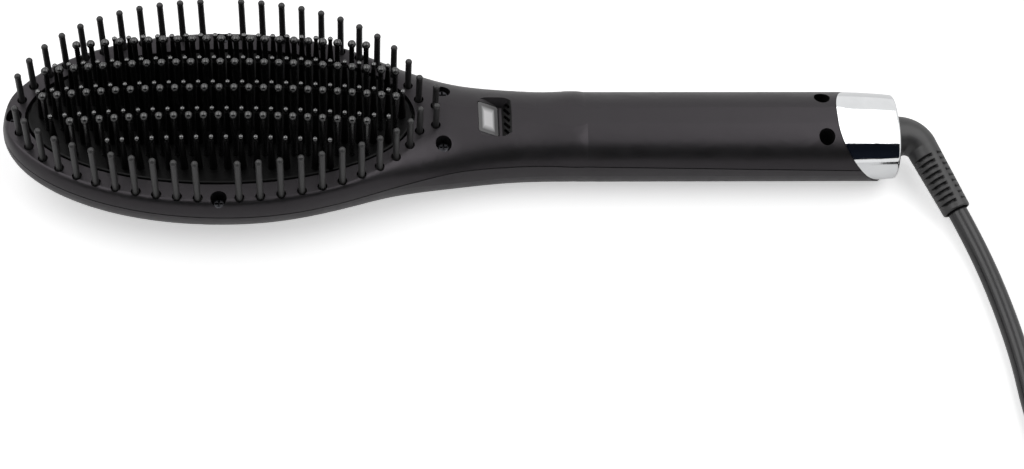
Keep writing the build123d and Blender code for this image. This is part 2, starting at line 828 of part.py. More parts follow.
write_part(
    "thermistor",
    block(head_x + sensor_offset, 0, sensor_length, sensor_width, insulation_top, plate_under, 0.8),
)
write_part(
    "thermal_fuse",
    block(
        head_x - sensor_offset, 0, 1.4 * sensor_length, sensor_width, insulation_top, plate_under, 0.4
    ),
)

# ---------------------------------------------------------------- window, display and mist outlet
write_part(
    "display_window",
    slab_on(window_plane, window_width, window_length, -0.05, -window_thickness, 0.8),
)
write_part(
    "display_module",
    slab_on(
        window_plane,
        module_width,
        module_length,
        -window_thickness,
        -window_thickness - module_thickness,
        0.4,
    ),
)

with BuildPart() as mist_outlet:
    add(slab_on(outlet_plane, outlet_width, outlet_height, 0, -outlet_thickness, 0.8))
    with BuildSketch(outlet_plane):
        with GridLocations(outlet_width / outlet_slots, 1, outlet_slots, 1):
            SlotOverall(outlet_slot_length, outlet_slot_width, rotation=outlet_slot_slant)
        RectangleRounded(
            outlet_width - 2 * outlet_rim_side,
            outlet_height - 2 * outlet_rim_end,
            0.5,
            mode=Mode.INTERSECT,
        )
    extrude(amount=-2 * outlet_thickness, mode=Mode.SUBTRACT)
write_part("mist_outlet", mist_outlet.part)

# ---------------------------------------------------------------- steam parts
tank_left = tank_x - tank_length / 2
feed_z = chamber_bottom + tank_wall + piezo_diameter / 2 + 0.4
piezo_right = chamber_x + chamber_length / 2 - tank_wall
with BuildPart() as mist_chamber:
    add(block(chamber_x, 0, chamber_length, chamber_width, chamber_bottom, chamber_top))
    hollow_length = chamber_length - 2 * tank_wall
    hollow_width = chamber_width - 2 * tank_wall
    hollow_bottom = chamber_bottom + tank_wall
    hollow_top = chamber_top - tank_wall
    add(
        block(chamber_x, 0, hollow_length, hollow_width, hollow_bottom, hollow_top),
        mode=Mode.SUBTRACT,
    )
    mouth_x = chamber_x - chamber_length / 2
    add(
        block(mouth_x, 0, 2 * tank_wall + 1, hollow_width, hollow_top - 3.5, hollow_top),
        mode=Mode.SUBTRACT,
    )
    wick_hole = rod_along_x(chamber_x + 1, tank_left, 0, feed_z, wick_diameter / 2)
    add(wick_hole, mode=Mode.SUBTRACT)
write_part("mist_chamber", mist_chamber.part)

write_part(
    "mist_element",
    rod_along_x(
        piezo_right - piezo_thickness,
        piezo_right,
        0,
        feed_z,
        piezo_diameter / 2,
    ),
)

with BuildPart() as water_tank:
    tank_top = tank_bottom + tank_height
    add(block(tank_x, 0, tank_length, tank_width, tank_bottom, tank_top, 2.5))
    add(pegs([(tank_x, 0)], filler_radius, filler_bottom, tank_bottom + 1))
    add(
        block(
            tank_x,
            0,
            tank_length - 2 * tank_wall,
            tank_width - 2 * tank_wall,
            tank_bottom + tank_wall,
            tank_top - tank_wall,
            1.4,
        ),
        mode=Mode.SUBTRACT,
    )
    add(
        pegs([(tank_x, 0)], filler_diameter / 2, filler_bottom - 1, tank_bottom + 2),
        mode=Mode.SUBTRACT,
    )
    add(
        rod_along_x(tank_left - 1, tank_left + 3, 0, feed_z, wick_diameter / 2),
        mode=Mode.SUBTRACT,
    )
write_part("water_tank", water_tank.part)

wick_end = tank_left + 8.0
write_part("feed_wick", rod_along_x(piezo_right, wick_end, 0, feed_z, wick_diameter / 2))

with BuildPart(Plane((tank_x, 0, plug_sink))) as tank_plug:
    Cylinder(plug_flange_diameter / 2, plug_flange_thickness, align=UP_FROM)
    fillet(tank_plug.edges().group_by(Axis.Z)[0], 0.4)
    stem_radius = filler_diameter / 2 - swivel_clearance
    Cylinder(stem_radius, plug_flange_thickness + plug_stem_length, align=UP_FROM)
    chamfer(tank_plug.edges().group_by(Axis.Z)[-1], 0.5)
    with BuildSketch(Plane.XY.offset(plug_sink)):
        with Locations((tank_x, 0)):
            SlotOverall(0.6 * plug_flange_diameter, 1.4)
    extrude(amount=0.5, mode=Mode.SUBTRACT)
write_part("tank_plug", tank_plug.part)

# ---------------------------------------------------------------- circuit board and buttons
with BuildPart() as control_board:
    add(block(board_x, 0, board_length, board_width, board_height, board_top, 1.0))
    clear_board_screw = board_screw_diameter / 2 + 0.15
    add(pegs(post_points, clear_board_screw, board_height - 1, board_top + 1), mode=Mode.SUBTRACT)
write_part("control_board", control_board.part)

components = [
    block(board_x + 12.0, 3.0, 9.0, 8.0, board_top, board_top + 6.5),
    block(board_x - 2.0, 0.0, 8.0, 8.0, board_top, board_top + 1.6),
    block(board_x - 12.0, -3.0, 5.0, 6.0, board_top, board_top + 5.0, 1.0),
    pegs([(board_x + 3.0, -6.0)], 2.5, board_top, board_top + 7.0),
    pegs([(board_x - 11.0, 5.0)], 2.0, board_top, board_top + 6.0),
]
write_part("board_components", Compound(children=components))

board_screws = [
    screw(x, y, board_top, board_screw_diameter, 3.4, 1.2, board_screw_length)
    for x, y in post_points
]
write_part("board_screws", Compound(children=board_screws))

switch_bottom = board_height - switch_height
bore_radius = plunger_diameter / 2 + plunger_bore_clearance
switches = []
for x, y in button_points:
    with BuildPart() as switch:
        add(block(x, y, switch_size, switch_size, switch_bottom, board_height, 0.4))
        add(
            pegs([(x, y)], bore_radius, switch_bottom - 1, board_height - 0.8),
            mode=Mode.SUBTRACT,
        )
    switches.append(switch.part)
write_part("tact_switches", Compound(children=switches))

button_face = pad_depth - button_stand
button_top = switch_bottom - button_travel - 0.4
for name, (x, y) in zip(("minus", "power", "plus"), button_points):
    with BuildPart() as button:
        add(block(x, y, button_length, button_width, button_face, panel_inner + 0.5, 1.5))
        fillet(button.edges().group_by(Axis.Z)[0], 0.35)
        lip_length = button_length + 2 * button_lip
        lip_width = button_width + 2 * button_lip
        add(block(x, y, lip_length, lip_width, panel_inner, panel_inner + 0.9, 1.5))
        add(pegs([(x, y)], plunger_diameter / 2, panel_inner + 0.5, button_top))
        with BuildSketch(Plane.XY.offset(button_face)):
            with Locations((x, y)):
                if name == "power":
                    Circle(1.9)
                    Circle(1.4, mode=Mode.SUBTRACT)
                    with Locations((0, -1.6)):
                        Rectangle(1.6, 1.4, mode=Mode.SUBTRACT)
                        Rectangle(0.55, 1.9)
                else:
                    Rectangle(3.4, 0.6)
                if name == "plus":
                    Rectangle(0.6, 3.4)
        extrude(amount=0.25, mode=Mode.SUBTRACT)
    write_part(f"{name}_button", button.part)
    with BuildPart() as plunger:
        plunger_top = board_height - 0.8 - button_travel - 0.3
        add(pegs([(x, y)], plunger_diameter / 2, button_top, plunger_top))
    write_part(f"{name}_plunger", plunger.part)

# ---------------------------------------------------------------- screws through the front cover
cover_screws = [
    screw(x, y, seat, screw_diameter, screw_head_diameter, screw_head_height, screw_length)
    for points, seat, boss_top in screw_groups
    for x, y in points
]
write_part("cover_screws", Compound(children=cover_screws))


# ---------------------------------------------------------------- chrome collar
def collar_solid(inset, end):
    """The collar's shape set in by inset and ending at x = end, narrower towards the cord."""
    sections = []
    for share in (-0.1, 0.3, 0.65, 1.0):
        x = collar_x + share * (end - collar_x)
        taper = collar_taper * max(0.0, share) ** 2
        sections.append(body_section(x, inset + taper))
    with BuildPart() as solid:
        loft(sections)
        split(bisect_by=Plane.XY, keep=Keep.TOP)
        split(bisect_by=Plane.XY.offset(face_z), keep=Keep.BOTTOM)
    return solid.part


bore_end = end_x - collar_end_wall
with BuildPart() as chrome_collar:
    add(collar_solid(0, end_x))
    end_edges = chrome_collar.faces().sort_by(Axis.X)[-1].edges()
    fillet(end_edges, collar_edge_radius)
    add(collar_solid(collar_wall, bore_end), mode=Mode.SUBTRACT)
    split(bisect_by=collar_plane, keep=Keep.TOP)
    boot_hole = boot_root_diameter / 2 + boot_clearance
    add(rod_along_x(bore_end - 1, end_x + 1, 0, axis_z, boot_hole), mode=Mode.SUBTRACT)
write_part("chrome_collar", chrome_collar.part)

# ---------------------------------------------------------------- swivel inside the collar
step_x = bore_end - socket_flange_depth
socket_x = end_screw_x + screw_recess_diameter / 2 + boss_wall + fit_clearance
with BuildPart() as swivel_socket:
    socket_inset = collar_wall + collar_taper + fit_clearance
    with BuildSketch(Plane.YZ.offset(socket_x)):
        with Locations((0, axis_z)):
            Ellipse(handle_width / 2 - socket_inset, axis_z - socket_inset)
    extrude(amount=bore_end - socket_x)
    with BuildSketch(Plane.YZ.offset(socket_x)):
        with Locations((0, axis_z)):
            Ellipse(handle_width / 2 - wall - socket_rim_gap, axis_z - wall - socket_rim_gap)
    extrude(amount=socket_rim_length)
    add(
        rod_along_x(socket_x - 1, bore_end + 1, 0, axis_z, stem_diameter / 2 + swivel_clearance),
        mode=Mode.SUBTRACT,
    )
    add(
        rod_along_x(socket_x - 1, step_x, 0, axis_z, stem_flange_diameter / 2 + swivel_clearance),
        mode=Mode.SUBTRACT,
    )
write_part("swivel_socket", swivel_socket.part)

flange_end = step_x - swivel_clearance
flange_start = flange_end - stem_flange_thickness
boot_start = bore_end + 0.1
with BuildPart() as swivel_stem:
    add(rod_along_x(flange_start, boot_start, 0, axis_z, stem_diameter / 2))
    add(rod_along_x(flange_start, flange_end, 0, axis_z, stem_flange_diameter / 2))
    add(rod_along_x(flange_start - 1, boot_start, 0, axis_z, core_diameter / 2), mode=Mode.SUBTRACT)
write_part("swivel_stem", swivel_stem.part)

clip_start = flange_start - 0.1 - clip_thickness
with BuildPart() as swivel_clip:
    clip_radius = stem_flange_diameter / 2 + swivel_clearance
    add(rod_along_x(clip_start, clip_start + clip_thickness, 0, axis_z, clip_radius))
    clip_bore = core_diameter / 2 + 0.8
    add(rod_along_x(clip_start - 1, flange_start, 0, axis_z, clip_bore), mode=Mode.SUBTRACT)
write_part("swivel_clip", swivel_clip.part)

cord_core_start = socket_x - core_reach
write_part("cord_core", rod_along_x(cord_core_start, boot_start, 0, axis_z, core_diameter / 2))

# ---------------------------------------------------------------- cord boot
bend_start_x = end_x + boot_root_length
bend = radians(boot_bend)
dip = radians(boot_dip)
side_way = Vector(0, -cos(dip), -sin(dip))
boot_across = side_way.cross(Vector(1, 0, 0))


def boot_direction(angle):
    """Direction of the boot's middle line after it has turned by angle."""
    return Vector(cos(angle), 0, 0) + side_way * sin(angle)


def boot_point(angle, beyond=0.0):
    """Point on the boot's middle line: round the elbow by angle, then straight on."""
    corner = Vector(bend_start_x, 0, axis_z)
    turned = Vector(boot_elbow_radius * sin(angle), 0, 0)
    turned += side_way * (boot_elbow_radius * (1 - cos(angle)))
    return corner + turned + boot_direction(angle) * beyond


def boot_circle(angle, beyond, diameter):
    """Round section across the boot's middle line."""
    origin = boot_point(angle, beyond)
    way = boot_direction(angle)
    with BuildSketch(Plane(origin=origin, x_dir=boot_across, z_dir=way)) as section:
        Circle(diameter / 2)
    return section.sketch.face()


boot_end = boot_point(bend, boot_straight)
elbow_narrowing = (0.2, 0.47, 0.73, 1.0)  # share of the root's narrowing, round the bend
elbow_diameters = [
    boot_root_diameter - (boot_root_diameter - boot_shoulder_diameter) * share
    for share in elbow_narrowing
]
collar_lip = 1.0
with BuildPart() as cord_boot:
    add(rod_along_x(boot_start, end_x + collar_lip, 0, axis_z, boot_root_diameter / 2))
    elbow = [boot_circle(0, collar_lip - boot_root_length, boot_root_diameter)]
    for step, diameter in enumerate(elbow_diameters):
        elbow.append(boot_circle(bend * step / (len(elbow_diameters) - 1), 0, diameter))
    loft(elbow)
    loft(
        [
            boot_circle(bend, 0, boot_shoulder_diameter),
            boot_circle(bend, boot_straight, boot_end_diameter),
        ]
    )
    rib_start = boot_straight - boot_tip_length - boot_ribs * boot_rib_pitch
    for rib in range(boot_ribs):
        middle = rib_start + rib * boot_rib_pitch
        rib_origin = boot_point(bend, middle)
        rib_plane = Plane(origin=rib_origin, x_dir=boot_across, z_dir=boot_direction(bend))
        taper = (boot_shoulder_diameter - boot_end_diameter) * middle / boot_straight
        slot_root = (boot_shoulder_diameter - taper) / 2 - boot_slot_depth
        with BuildSketch(rib_plane):
            Circle(boot_shoulder_diameter)
            Circle(slot_root, mode=Mode.SUBTRACT)
            Rectangle(boot_spine_width, 3 * boot_shoulder_diameter, mode=Mode.SUBTRACT)
            Rectangle(3 * boot_shoulder_diameter, boot_spine_width, mode=Mode.SUBTRACT)
        extrude(amount=boot_slot_width, mode=Mode.SUBTRACT)
write_part("cord_boot", cord_boot.part)

# ---------------------------------------------------------------- leads inside the handle
lead_z = axis_z
board_start = board_x - board_length / 2
leads = []
for side in (-1, 1):
    heater_z = plate_under - lead_diameter / 2 - 0.5
    route = [
        (heater_end_x, side * lead_row, heater_z),
        (lead_drop_x, side * lead_row, heater_z),
        (lead_drop_x, side * lead_row, lead_z),
        (neck_screw_x, side * lead_neck_row, lead_z),
        (tank_left, side * lead_handle_row, lead_z),
        (board_start - 2.0, side * lead_handle_row, lead_z),
        (board_start + 8.0, side * 9.9, board_top + lead_diameter / 2),
    ]
    leads.append(tube(route, [1.0, 3.0, 12.0, 12.0, 3.0], lead_diameter))
write_part("heater_leads", Compound(children=leads))

mains = []
for side in (-1, 1):
    start_x = board_x + board_length / 2 - 4.0
    route = [
        (start_x, side * 4.0, board_top + lead_diameter / 2),
        (start_x + 5.0, side * 4.0, board_top + lead_diameter / 2),
        (cord_core_start - 3.0, side * 1.0, axis_z),
        (cord_core_start, side * 1.0, axis_z),
    ]
    mains.append(tube(route, [3.0, 2.0], lead_diameter))
write_part("mains_leads", Compound(children=mains))

# ---------------------------------------------------------------- cord, coil and plug
cord_exit = boot_point(bend, boot_straight + cord_exit_run)
route = [tuple(boot_end), tuple(cord_exit)] + cord_route
cord_radii = fillet_route(route)
print("cord starts at", [[round(value, 3) for value in point] for point in route[:2]])
print("cord radii", [round(radius, 1) for radius in cord_radii])
cord_tube = tube(route, cord_radii, cord_diameter)
write_part("cord_tube", cord_tube)

coil_x = cord_route[-1][0] + coil_mean_diameter / 2 + (coil_columns - 1) / 2 * cord_diameter
coil_y = cord_route[-1][1]
coil_width = coil_columns * cord_diameter
coil_height = coil_layers * cord_diameter
with BuildPart() as cord_coil:
    with BuildSketch(Plane.XZ):
        with Locations((coil_mean_diameter / 2, coil_height / 2)):
            RectangleRounded(coil_width, coil_height, 0.45 * cord_diameter)
    revolve(axis=Axis.Z)
write_part("cord_coil", cord_coil.part.moved(Location((coil_x, coil_y, 0))))

tail_radii = fillet_route(tail_route)
print("tail radii", [round(radius, 1) for radius in tail_radii])
cord_tail = tube(tail_route, tail_radii, cord_diameter)
write_part("cord_tail", cord_tail)

plug_start = Vector(*tail_route[-1])
plug_way = (plug_start - Vector(*tail_route[-2])).normalized()
plug_way = Vector(plug_way.X, plug_way.Y, 0).normalized()
plug_plane = Plane(origin=plug_start, x_dir=plug_way.cross(Vector(0, 0, -1)), z_dir=plug_way)
plug_shape = (  # distance along the plug, width, thickness and corner radius of its sections
    (plug_neck_length, plug_neck_diameter, plug_neck_diameter, 4.9),
    (plug_neck_length + 9.0, 0.86 * plug_width, 0.94 * plug_thickness, 5.6),
    (plug_neck_length + plug_length - 12.0, plug_width, plug_thickness, 5.6),
    (plug_neck_length + plug_length - 8.0, plug_width, plug_thickness, 5.6),
)
with BuildPart() as plug_body:
    with BuildSketch(plug_plane):
        Circle(plug_neck_diameter / 2)
    extrude(amount=plug_neck_length)
    for distance, width, thickness, corner in plug_shape:
        with BuildSketch(plug_plane.offset(distance)):
            RectangleRounded(width, thickness, corner)
    loft()
write_part("plug_body", plug_body.part)

pin_start = plug_neck_length + plug_length - 8.0
with BuildPart() as plug_pins:
    with BuildSketch(plug_plane.offset(pin_start)):
        with GridLocations(plug_pin_spacing, 1, 2, 1):
            Circle(plug_pin_diameter / 2)
    extrude(amount=plug_pin_length)
write_part("plug_pins", plug_pins.part)
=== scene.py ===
"""Looks of the steam hair straightener brush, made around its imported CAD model.

Places and sizes are in metres, in the CAD model's frame: +X runs from the head's tip to the
cord, +Y to the far side, +Z up. Sizes that belong to one piece stand beside its functions.
"""

import json
from math import cos, pi, radians, sin, sqrt

import bpy
from mathutils import Matrix, Vector


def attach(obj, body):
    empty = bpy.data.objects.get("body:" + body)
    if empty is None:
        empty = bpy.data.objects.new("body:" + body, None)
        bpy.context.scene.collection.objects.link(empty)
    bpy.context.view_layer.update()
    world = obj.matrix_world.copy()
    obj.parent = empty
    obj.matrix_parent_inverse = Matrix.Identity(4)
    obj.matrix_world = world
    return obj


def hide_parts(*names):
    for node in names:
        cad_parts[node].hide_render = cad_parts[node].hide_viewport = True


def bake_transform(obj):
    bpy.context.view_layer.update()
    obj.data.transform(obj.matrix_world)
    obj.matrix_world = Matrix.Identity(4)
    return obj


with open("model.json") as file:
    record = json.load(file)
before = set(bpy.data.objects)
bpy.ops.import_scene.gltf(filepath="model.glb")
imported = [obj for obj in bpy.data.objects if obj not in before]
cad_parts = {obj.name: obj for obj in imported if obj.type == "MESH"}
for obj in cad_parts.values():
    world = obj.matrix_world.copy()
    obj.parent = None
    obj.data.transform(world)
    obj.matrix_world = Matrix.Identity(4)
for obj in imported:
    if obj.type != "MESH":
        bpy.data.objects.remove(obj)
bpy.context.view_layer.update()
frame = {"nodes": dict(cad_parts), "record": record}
nodes = frame["nodes"]
MM = 0.001


# ---------------------------------------------------------------- camera
CAMERA_AZIMUTH = -4.400  # degrees, round +Z from the near side
CAMERA_ELEVATION = 54.956  # degrees above the floor
CAMERA_ROLL = 3.507  # degrees
CAMERA_DISTANCE = 0.763545  # from the frame's origin
IMAGE_WIDTH, IMAGE_HEIGHT = 1024, 469
ORIGIN_PIXEL = (451.417, 158.7)  # where the frame's origin lies in the picture
FOCAL_PIXELS = 2316.705
SENSOR_WIDTH = 36.0  # millimetres


def make_camera():
    """Camera at the photograph's viewing angle, looking at the frame's origin."""
    azimuth, elevation, roll = map(radians, (CAMERA_AZIMUTH, CAMERA_ELEVATION, CAMERA_ROLL))
    flat = cos(elevation)
    back = Vector((sin(azimuth) * flat, -cos(azimuth) * flat, sin(elevation)))
    level = Vector((cos(azimuth), sin(azimuth), 0))
    upward = back.cross(level)
    right = level * cos(roll) + upward * sin(roll)
    up = upward * cos(roll) - level * sin(roll)
    data = bpy.data.cameras.new("camera")
    data.sensor_width = SENSOR_WIDTH
    data.sensor_fit = "HORIZONTAL"
    data.lens = FOCAL_PIXELS * SENSOR_WIDTH / IMAGE_WIDTH
    data.shift_x = (IMAGE_WIDTH / 2 - ORIGIN_PIXEL[0]) / IMAGE_WIDTH
    data.shift_y = (ORIGIN_PIXEL[1] - IMAGE_HEIGHT / 2) / IMAGE_WIDTH
    camera = bpy.data.objects.new("camera", data)
    turn = Matrix((right, up, back)).transposed().to_4x4()
    camera.matrix_world = Matrix.Translation(back * CAMERA_DISTANCE) @ turn
    bpy.context.scene.collection.objects.link(camera)
    bpy.context.scene.camera = camera


make_camera()


# ---------------------------------------------------------------- mesh helpers
def make_object(name, vertices, faces, smooth=True):
    """Mesh object from its vertices and faces, shaded smooth unless told otherwise."""
    mesh = bpy.data.meshes.new(name)
    mesh.from_pydata([tuple(v) for v in vertices], [], faces)
    mesh.update()
    if smooth:
        mesh.shade_smooth()
    piece = bpy.data.objects.new(name, mesh)
    bpy.context.scene.collection.objects.link(piece)
    return piece


def bridge(rings):
    """Vertices of rings of equal length, and the faces that join them and cap both ends."""
    count = len(rings[0])
    vertices = [point for ring in rings for point in ring]
    faces = []
    for row in range(len(rings) - 1):
        for side in range(count):
            after = (side + 1) % count
            low, high = row * count, (row + 1) * count
            faces.append((low + side, low + after, high + after, high + side))
    last = (len(rings) - 1) * count
    faces.append(tuple(reversed(range(count))))
    faces.append(tuple(last + side for side in range(count)))
    return vertices, faces


def smooth_step(value, low, high):
    """0 below low and 1 above high, with a smooth change between them."""
    share = min(1.0, max(0.0, (value - low) / (high - low)))
    return share * share * (3 - 2 * share)


# ---------------------------------------------------------------- cord
CORD_DIAMETER = 6.5 * MM
CORD_RADIUS = CORD_DIAMETER / 2
CORD_SIDES = 20
CORD_OVERLAP = 1.7 * MM  # length of cord inside the boot's end
BOOT_END = Vector((163.273, -25.142, 5.931)) * MM
CORD_EXIT = Vector((167.694, -34.915, 3.495)) * MM  # straight on from the boot
CORD_ROUTE = [  # millimetres, from there to the coil
    (172.5, -55.5, 3.3),
    (175.8, -78.5, 3.3),
    (176.4, -97.0, 3.3),
    (178.7, -113.0, 3.3),
]
TAIL_ROUTE = [  # millimetres, from the coil's top down to the plug
    (269.7, -113.0, 9.75),
    (270.1, -99.5, 8.6),
    (267.7, -86.0, 7.0),
    (262.3, -73.8, 7.0),
]
COIL_MIDDLE = (224.2 * MM, -113.0 * MM)
COIL_OUTER_RADIUS = 45.5 * MM  # to the middle of the cord
COIL_TURNS = 7.5
COIL_COLUMNS = 4  # turns side by side
POINTS_A_TURN = 16  # control points
LINE_STEPS = 8  # points of the smooth line for each control point


def coil_points():
    """Control points of the coil: inward on the table, then outward on top of those turns."""
    inward = COIL_COLUMNS - 1
    points = []
    for step in range(int(COIL_TURNS * POINTS_A_TURN)):
        turn = (step + 0.5) / POINTS_A_TURN
        columns_in = min(turn, inward, max(0.0, 2 * inward + 1 - turn))
        radius = (COIL_OUTER_RADIUS - columns_in * CORD_DIAMETER) / cos(pi / POINTS_A_TURN)
        height = CORD_RADIUS + CORD_DIAMETER * smooth_step(turn, inward, inward + 1)
        angle = pi + 2 * pi * turn
        x = COIL_MIDDLE[0] + radius * cos(angle)
        y = COIL_MIDDLE[1] + radius * sin(angle)
        points.append(Vector((x, y, height)))
    return points


def line_through(name, control):
    """Points along the smooth line that a NURBS spline makes of its control points."""
    data = bpy.data.curves.new(name, "CURVE")
    data.dimensions = "3D"
    data.resolution_u = LINE_STEPS
    spline = data.splines.new("NURBS")
    spline.points.add(len(control) - 1)
    for point, place in zip(spline.points, control):
        point.co = (*place, 1)
    spline.order_u = 3
    spline.use_endpoint_u = True
    curve = bpy.data.objects.new(name, data)
    mesh = bpy.data.meshes.new_from_object(curve)
    points = [vertex.co.copy() for vertex in mesh.vertices]
    bpy.data.objects.remove(curve)
    bpy.data.meshes.remove(mesh)
    return points


def rings_along(points, radius, sides):
    """Round rings square to a line of points, turned as little as the line allows."""
    rings = []
    across = Vector((0, 0, 1))
    for place, point in enumerate(points):
        before = points[max(0, place - 1)]
        after = points[min(len(points) - 1, place + 1)]
        way = (after - before).normalized()
        across = (across - way * across.dot(way)).normalized()
        beside = way.cross(across)
        ring = []
        for side in range(sides):
            angle = 2 * pi * side / sides
            ring.append(point + (across * cos(angle) + beside * sin(angle)) * radius)
        rings.append(ring)
    return rings


def make_cord():
    """Mains cord from the boot, past the view's edge, through its coil and to the plug."""
    start = BOOT_END - (CORD_EXIT - BOOT_END).normalized() * CORD_OVERLAP
    route = [Vector(point) * MM for point in CORD_ROUTE]
    tail = [Vector(point) * MM for point in TAIL_ROUTE]
    control = [start, CORD_EXIT] + route + coil_points() + tail
    line = line_through("cord_line", control)
    cord = make_object("mains_cord", *bridge(rings_along(line, CORD_RADIUS, CORD_SIDES)))
    length = sum((b - a).length for a, b in zip(line, line[1:]))
    return cord, line, length


cord, cord_line, cord_length = make_cord()


# ---------------------------------------------------------------- shader nodes
def maths(tree, operation, *values):
    """Result of a Math node whose inputs are sockets or numbers with a decimal point."""
    node = tree.nodes.new("ShaderNodeMath")
    node.operation = operation
    for socket, value in zip(node.inputs, values):
        if isinstance(value, float):
            socket.default_value = value
        else:
            tree.links.new(value, socket)
    return node.outputs["Value"]


def map_range(tree, source, start, end, low=0.0, high=1.0):
    """Value that runs from low to high as source runs from start to end."""
    node = tree.nodes.new("ShaderNodeMapRange")
    node.inputs["From Min"].default_value = start
    node.inputs["From Max"].default_value = end
    node.inputs["To Min"].default_value = low
    node.inputs["To Max"].default_value = high
    tree.links.new(source, node.inputs["Value"])
    return node.outputs["Result"]


def mix_colours(tree, first, second, share):
    """Colour that runs from first to second as share runs from 0 to 1."""
    node = tree.nodes.new("ShaderNodeMix")
    node.data_type = "RGBA"
    node.inputs["A"].default_value = (*first, 1)
    node.inputs["B"].default_value = (*second, 1)
    tree.links.new(share, node.inputs["Factor"])
    return node.outputs["Result"]


# ---------------------------------------------------------------- materials
NOISE_MIDDLE = (0.3, 0.7)  # most values of a noise lie between these
EVEN = (1, 1, 1)
ALONG_X = (0.1, 1, 1)  # stretch of a grain that runs along the body


class Surface:
    """Node-based material round one Principled shader, with its coordinates in metres."""

    def __init__(self, name, **uniform):
        self.material = bpy.data.materials.new(name)
        self.material.use_nodes = True
        self.tree = self.material.node_tree
        self.shader = self.tree.nodes["Principled BSDF"]
        self.place = self.tree.nodes.new("ShaderNodeTexCoord").outputs["Object"]
        for socket, value in uniform.items():
            self.shader.inputs[socket.replace("_", " ")].default_value = value

    def noise(self, size, detail=2.0, stretch=EVEN, seed=0.0):
        """Noise whose lumps are about size metres wide."""
        shift = self.tree.nodes.new("ShaderNodeMapping")
        shift.inputs["Location"].default_value = (seed, seed, seed)
        shift.inputs["Scale"].default_value = [share / size for share in stretch]
        noise = self.tree.nodes.new("ShaderNodeTexNoise")
        noise.inputs["Scale"].default_value = 1.0
        noise.inputs["Detail"].default_value = detail
        self.tree.links.new(self.place, shift.inputs["Vector"])
        self.tree.links.new(shift.outputs["Vector"], noise.inputs["Vector"])
        return noise.outputs["Fac"]

    def colour(self, first, second, share):
        """Base colour that runs from first to second as share runs from 0 to 1."""
        mixed = mix_colours(self.tree, first, second, share)
        self.tree.links.new(mixed, self.shader.inputs["Base Color"])

    def mottle(self, dark, light, noise):
        """Base colour that varies between two colours."""
        self.colour(dark, light, map_range(self.tree, noise, *NOISE_MIDDLE))

    def rough(self, low, high, noise):
        """Roughness that varies between two values."""
        spread = map_range(self.tree, noise, *NOISE_MIDDLE, low, high)
        self.tree.links.new(spread, self.shader.inputs["Roughness"])

    def bump(self, depth, noise):
        """Fine relief, depth metres high."""
        bump = self.tree.nodes.new("ShaderNodeBump")
        bump.inputs["Strength"].default_value = 1.0
        bump.inputs["Distance"].default_value = depth
        self.tree.links.new(noise, bump.inputs["Height"])
        self.tree.links.new(bump.outputs["Normal"], self.shader.inputs["Normal"])


NEUTRAL = (1.0, 0.985, 1.0)
PLASTIC_MOTTLE = 0.12  # how much lighter and darker its colour gets
PLASTIC_MOTTLE_SIZE = 14 * MM
PLASTIC_GLOSS_CHANGE = 0.1
PLASTIC_GLOSS_SIZE = 5 * MM
METAL_DARKEST = 0.94  # colour of its smudges, as a share of its own
METAL_SMUDGE_SIZE = 9 * MM
METAL_GLOSS_CHANGE = 0.2
METAL_GLOSS_SIZE = 4 * MM


def grey(value, tint=NEUTRAL):
    """Colour of a linear value, nearly neutral unless it has a tint."""
    return tuple(value * share for share in tint)


def plastic(name, value, roughness, grain, depth, tint=NEUTRAL, **uniform):
    """Moulded plastic or rubber: mottled colour, uneven gloss and a fine moulded grain."""
    surface = Surface(name, **uniform)
    dark = grey(value * (1 - PLASTIC_MOTTLE), tint)
    light = grey(value * (1 + PLASTIC_MOTTLE), tint)
    surface.mottle(dark, light, surface.noise(PLASTIC_MOTTLE_SIZE, 3.0))
    dull = roughness * (1 + PLASTIC_GLOSS_CHANGE)
    glossy = roughness * (1 - PLASTIC_GLOSS_CHANGE)
    surface.rough(glossy, dull, surface.noise(PLASTIC_GLOSS_SIZE, 4.0, seed=9.0))
    surface.bump(depth, surface.noise(grain, 3.0, seed=4.0))
    return surface.material


def metal(name, colour, roughness, grain, depth, stretch=EVEN):
    """Metal with a fine drawn or rolled grain and faint smudges."""
    surface = Surface(name, Metallic=1.0)
    dark = tuple(METAL_DARKEST * share for share in colour)
    surface.mottle(dark, colour, surface.noise(METAL_SMUDGE_SIZE, 4.0))
    dull = roughness * (1 + METAL_GLOSS_CHANGE)
    glossy = roughness * (1 - METAL_GLOSS_CHANGE)
    surface.rough(glossy, dull, surface.noise(METAL_GLOSS_SIZE, 4.0, seed=5.0))
    surface.bump(depth, surface.noise(grain, 2.0, stretch, seed=2.0))
    return surface.material


WINDOW_MIDDLE_X = 11.1 * MM
WINDOW_PANE_X = 2.2 * MM  # half the pane inside its border, measured along the body
WINDOW_PANE_Y = 4.7 * MM  # the same across the body
WINDOW_BORDER = (0.95, 1.08)  # where pane turns to border, in half panes from the middle
WINDOW_ALPHA = (0.85, 0.92)  # of the pane and of the border
WINDOW_PAINTED_SHADE = (0.55, 1.0)  # where the painted shade darkens the pane, in half panes from the middle
WINDOW_PALE = grey(0.95)
# Darkest colour of the painted shade at the pane's border, over the edge of its pocket.
WINDOW_SHADE_COLOUR = grey(0.16)


